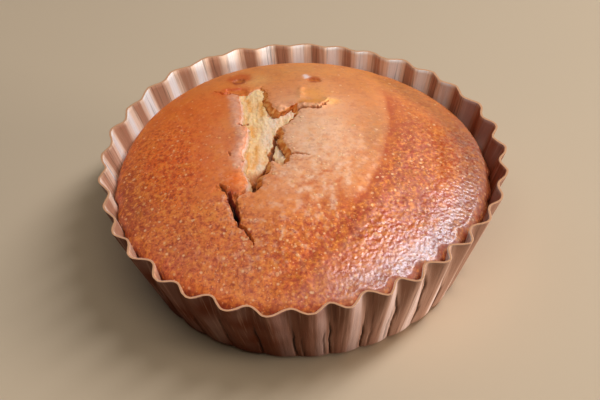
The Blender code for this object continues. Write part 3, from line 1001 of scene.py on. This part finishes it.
crumb = {  # what shows inside the tear
    "patch": (
        (-18.6, 31), (-18.2, 20), (-18, 12), (-16.8, 6), (-17.8, 0), (-18.2, -7), (-16.4, -12),
        (-16.4, -16.4), (-11.6, -17.6), (-8.2, -13.6), (-7.2, -9.8), (-4.4, -9.2), (-0.6, -5.6), (0.2, -1),
        (-1.6, 3), (-1.2, 7.8), (2.6, 14), (2.6, 21.2), (-3.4, 19.8), (-5, 23.4), (-5.6, 30.8), (-10, 31.6),
    ),
    "spacing": 0.155,
    "thickness": 1.5,
    "lumps": ((2.6, 0.42), (1.1, 0.24), (0.5, 0.13)),  # the span and height of the torn lumps
    "stretch": (1, 0.62),
    "strandHeight": 0.14,
    "poreDepth": 0.35,
    "crevices": (  # like the cracks
        (((-5, 10.6, 0.9), (-5.3, 8.6, 2.2), (-6.1, 7.4, 1.4)), 0.8, 0.1, 0.75),
        (((-6.3, 7.6, 0.9), (-6.4, 4.6, 1.2), (-7.2, 1.7, 1.1), (-7.9, 0.1, 1.5), (-7.5, -1.4, 1.5)),
         1.2, 0.8, 0.75),
        (((-7.5, -1.4, 1.3), (-7.9, -4.4, 1.8), (-9, -6.2, 2.2), (-9.8, -7.8, 2.8), (-10.8, -9.6, 3.2),
          (-12.4, -11, 3.4)), 1.6, 0.95, 0.75),
        (((-15.6, 14.2, 0.8), (-13.6, 13.6, 0.5)), 0.6, 0.4, 0.75),
    ),
    "streaks": (
        ((-12.8, 12), (-12.1, 8)), ((-11.2, 3.6), (-11.7, -1.8), (-12.7, -4.6)), ((-9.8, 24), (-9.6, 17)),
        ((-13.4, 26), (-12.8, 20)), ((-13.6, 0.6), (-13.9, -4)),
    ),
    "greyPatches": (  # middle and reach
        ((-8.4, 6), (2.4, 7)), ((-10.8, -3.6), (2.4, 3.6)), ((-4.6, 0.4), (2.6, 4)), ((-6.6, 14), (3, 5)),
        ((-2.4, 17), (3, 3.4)),
    ),
    "fleck": (255, 232, 190),
    "pale": (250, 202, 142),
    "grey": (236, 204, 174),
    "gold": (238, 160, 70),
    "amber": (204, 106, 26),
    # painted shade at the foot of the tear and in the crevices
    "deep": (58, 22, 5),
}


def makeCrumbMaterial(cake):
    material, tree, shader = startMaterial("tornCrumb", 0.75)
    place = millimetres(tree)
    fleck = noiseNode(tree, place, 1.1, 4, 0.7)
    tone = readPoints(tree, "tone", "Color")
    colour = layColours(
        tree, tone,
        (ramp(tree, fleck, 0.52, 0.7, 0.3), cake["fleck"]),
        (ramp(tree, fleck, 0.46, 0.3, 0.4), cake["gold"]),
        (readPoints(tree, "shade"), tone),
    )
    tree.links.new(colour, shader.inputs["Base Color"])
    addBump(tree, shader, noiseNode(tree, place, 2.6, 4, 0.7), 0.16, 0.5)
    letLightIn(shader, 0.3, (1, 0.6, 0.3), 1.5)
    return material


def makeCrumb(cake):
    outline = roughen(cake["patch"], 0.3)
    field = spread(cake["spacing"], (13, 26), (-8, 7), seed=6)
    field = field[isInside(field, outline) & (distanceToLine(field, outline, True) > 0.1)]
    places, triangles = triangulate(np.vstack([outline, field]), [len(outline)])
    x, y = places.T
    base = smoothDome(places)
    relief = cake["strandHeight"] * (ridgesAt(places * np.array([1, 0.3]), 1.5, 41) - 0.3)
    for index, (span, height) in enumerate(cake["lumps"]):
        relief += height * noiseAt(places * np.array(cake["stretch"]), span, 43 + 3 * index)
    pores = np.clip(1 - cellsAt(places * np.array([1, 0.7]), 1.4, 3) / 0.4, 0, 1)
    relief -= cake["poreDepth"] * (ease(noiseAt(places, 3.4, 55), -0.1, 0.5) * pores)
    crevices, dark = grooveDepths(places, cake["crevices"])
    heights = base - tearDepth(places) + relief - crevices
    under = ~isInside(places, tear["outline"])
    heights = np.where(under, np.minimum(heights, base - 0.9), heights)
    shade = np.maximum(0.92 * (ease(y, -4, -6.5) * mix(0.55, 1, ease(x, -14, 4))), dark)
    colours = plainColour(cake["pale"], len(places))
    for centre, reach in cake["greyPatches"]:
        colours = blend(colours, (cake["grey"], 0.9 * patchAt(places, centre, reach)))
    for streak in cake["streaks"]:
        away = distanceToLine(places + 0.4 * noiseAt(places, 1.4, 57)[:, None], streak)
        colours = blend(colours, (cake["gold"], 0.85 * bell(away, 0.75)))
    colours = blend(
        colours,
        (cake["gold"], 0.6 * ease(relief, 0.05, -0.5)),
        (cake["amber"], 0.7 * ease(relief, -0.3, -0.5)),
        (cake["amber"], smoothStep(crevices / 0.5)),
        (cake["amber"], smoothStep(shade / 0.6)),
        (cake["deep"], shade ** 1.6),
    )

    columns = len(outline)
    count = len(places)
    bottom = np.column_stack([places[:columns], heights[:columns] - cake["thickness"]])
    bottomTriangles = triangulate(places[:columns], [columns])[1]
    faces = triangles.tolist() + ringFaces(count, 0, columns) + (bottomTriangles[:, ::-1] + count).tolist()
    points = np.vstack([np.column_stack([places, heights]), bottom])
    piece = makePiece("tornCrumb", points, faces, makeCrumbMaterial(cake), 80)
    paintPoints(piece, "tone", np.vstack([colours, colours[:columns]]))
    paintPoints(piece, "shade", np.concatenate([shade, shade[:columns]]))
    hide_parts("cake")
    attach(piece, "root")


specks = {  # small pale crumbs that lie flat on the crust
    "count": 300,
    "sizes": (0.25, 0.65),
    "rise": 0.02,
    "sunk": 0.12,
    "sides": 9,
    "seed": 5,
    "pale": (255, 208, 160),
    "gold": (250, 180, 104),
    "clusters": (  # middle, reach and how many more specks there are
        ((6, -6), (20, 24), 1),
        ((-26, 8), (12, 14), 0.5),
        ((-6, -30), (24, 12), 0.8),
        ((18, -4), (10, 20), 0.7),
        ((-34, -10), (16, 24), 0.5),
    ),
}


def makeSpecks(plan):
    draw = np.random.default_rng(plan["seed"])
    places = draw.uniform(-50, 50, (plan["count"] * 6, 2))
    chance = np.full(len(places), 0.18)
    for centre, reach, more in plan["clusters"]:
        chance += more * patchAt(places, centre, reach)
    chance *= 0.5 + 0.9 * smoothStep(0.5 + noiseAt(places, 5, 51))
    places = places[draw.uniform(0, 1.3, len(places)) < chance]
    hole = isInside(places, tear["outline"]) | isInside(places, slit["outline"])
    flat = grooveDepths(places, cracks)[0] == 0
    places = places[(edgeDistance(places) > 2.5) & ~hole & flat][:plan["count"]]
    ground = crustColours(places, np.zeros(len(places)), edgeDistance(places))
    sizes = mix(*plan["sizes"], draw.uniform(0, 1, len(places)) ** 2)
    shares = draw.uniform(0, 1, len(places))
    bright = draw.uniform(0.15, 0.75, len(places))
    sides = plan["sides"]
    turns = np.arange(sides) * math.tau / sides
    points = []
    colours = []
    faces = []
    for index, (place, size, share) in enumerate(zip(places, sizes, shares)):
        first = index * (2 * sides + 2)
        reach = size * draw.uniform(0.7, 1.25, sides)
        for ring, lift in ((1, -0.04), (0.7, plan["rise"])):
            points += (roundPlaces(ring * reach, turns, [lift] * sides) + (*place, 0)).tolist()
        points += [(*place, plan["rise"]), (*place, -plan["sunk"])]
        faces += ringFaces(first, first + sides, sides)
        faces += fanFaces(first + sides, sides, first + 2 * sides)
        faces += fanFaces(first, sides, first + 2 * sides + 1, turned=True)
        pale = mix(ground[index], mix(linear(plan["pale"]), linear(plan["gold"]), share), bright[index])
        colours += [ground[index]] * sides + [mix(ground[index], pale, 0.6)] * sides + [pale, ground[index]]
    points = np.array(points)
    points[:, 2] += crustHeights(points[:, :2])[0]
    material, tree, shader = startMaterial("paleSpeck", 0.7)
    tree.links.new(readPoints(tree, "tone", "Color"), shader.inputs["Base Color"])
    letLightIn(shader, 0.2, (1, 0.6, 0.3), 0.4)
    piece = makePiece("paleSpecks", points, faces, material)
    paintPoints(piece, "tone", np.array(colours))
    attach(piece, "root")


studio = {  # the pale floor and the soft lights
    "floor": (200, 176, 144),
    "floorHalf": 2000,
    "ambient": (0.95, 0.94, 1, 1),
    "ambientStrength": 0.04,
    "lights": {  # azimuth, elevation, roll, distance, width and height in metres, power and colour
        "tallWindow": (14, 56, 33, 0.8, 0.12, 0.66, 5.4, (0.84, 0.89, 1)),
        "sideWindow": (-12, 5, 0, 0.9, 0.3, 0.12, 8.8, (1, 0.96, 0.92)),
        "ceiling": (-90, 70, 0, 1, 0.6, 0.4, 2.5, (1, 0.96, 0.88)),
        "coolCorner": (142, 50, 0, 0.9, 0.4, 0.4, 0.3, (0.8, 0.84, 1)),
    },
}

cameraPlan = {
    "target": (-0.7, -1, 16.5),
    "distance": 409,
    "elevation": 42.4,
    "roll": -3.68,
    "lens": 90,
    "sensor": 36,
    "nearest": 0.01,
}


def lookBack(away, roll):  # the turn of a lamp or camera that looks back along a direction
    return away.to_track_quat("Z", "Y") @ Quaternion((0, 0, 1), math.radians(roll))


def makeFloor(plan):
    material, tree, shader = startMaterial("paleFloor", 0.8)
    cloud = ramp(tree, noiseNode(tree, millimetres(tree), 0.01), 0.3, 0.7, 0.12)
    pale = mixColour(tree, cloud, plan["floor"], 0.9 * linear(plan["floor"]))
    tree.links.new(pale, shader.inputs["Base Color"])
    half = plan["floorHalf"]
    corners = [(-half, -half, 0), (half, -half, 0), (half, half, 0), (-half, half, 0)]
    makePiece("floor", corners, [(0, 1, 2, 3)], material)


def makeLights(plan):
    world = bpy.data.worlds.new("softRoom")
    world.use_nodes = True
    background = world.node_tree.nodes["Background"]
    background.inputs["Color"].default_value = plan["ambient"]
    background.inputs["Strength"].default_value = plan["ambientStrength"]
    bpy.context.scene.world = world
    bpy.context.scene.view_settings.view_transform = "Standard"
    for name, (azimuth, elevation, roll, distance, width, height, power, colour) in plan["lights"].items():
        data = bpy.data.lights.new(name, "AREA")
        data.shape = "RECTANGLE"
        data.size = width
        data.size_y = height
        data.energy = power
        data.color = colour
        lamp = placeObject(name, data)
        level = math.cos(math.radians(elevation))
        turn = math.radians(azimuth)
        away = Vector((math.cos(turn) * level, math.sin(turn) * level, math.sin(math.radians(elevation))))
        lamp.location = away * distance
        lamp.rotation_euler = lookBack(away, roll).to_euler()
    print("lights", len(plan["lights"]))


def makeCamera(plan):
    elevation = math.radians(plan["elevation"])
    away = Vector((0, -math.cos(elevation), math.sin(elevation)))
    data = bpy.data.cameras.new("camera")
    data.lens = plan["lens"]
    data.sensor_width = plan["sensor"]
    data.clip_start = plan["nearest"]
    camera = placeObject("camera", data)
    camera.location = (Vector(plan["target"]) + away * plan["distance"]) * mm
    camera.rotation_mode = "QUATERNION"
    camera.rotation_quaternion = lookBack(away, plan["roll"])
    bpy.context.scene.camera = camera
    print("camera", plan["lens"])


makeCamera(cameraPlan)
makeFloor(studio)
makeLights(studio)
makePaperCase(paperCase)
makeCrust()
makeCrumb(crumb)
makeSpecks(specks)
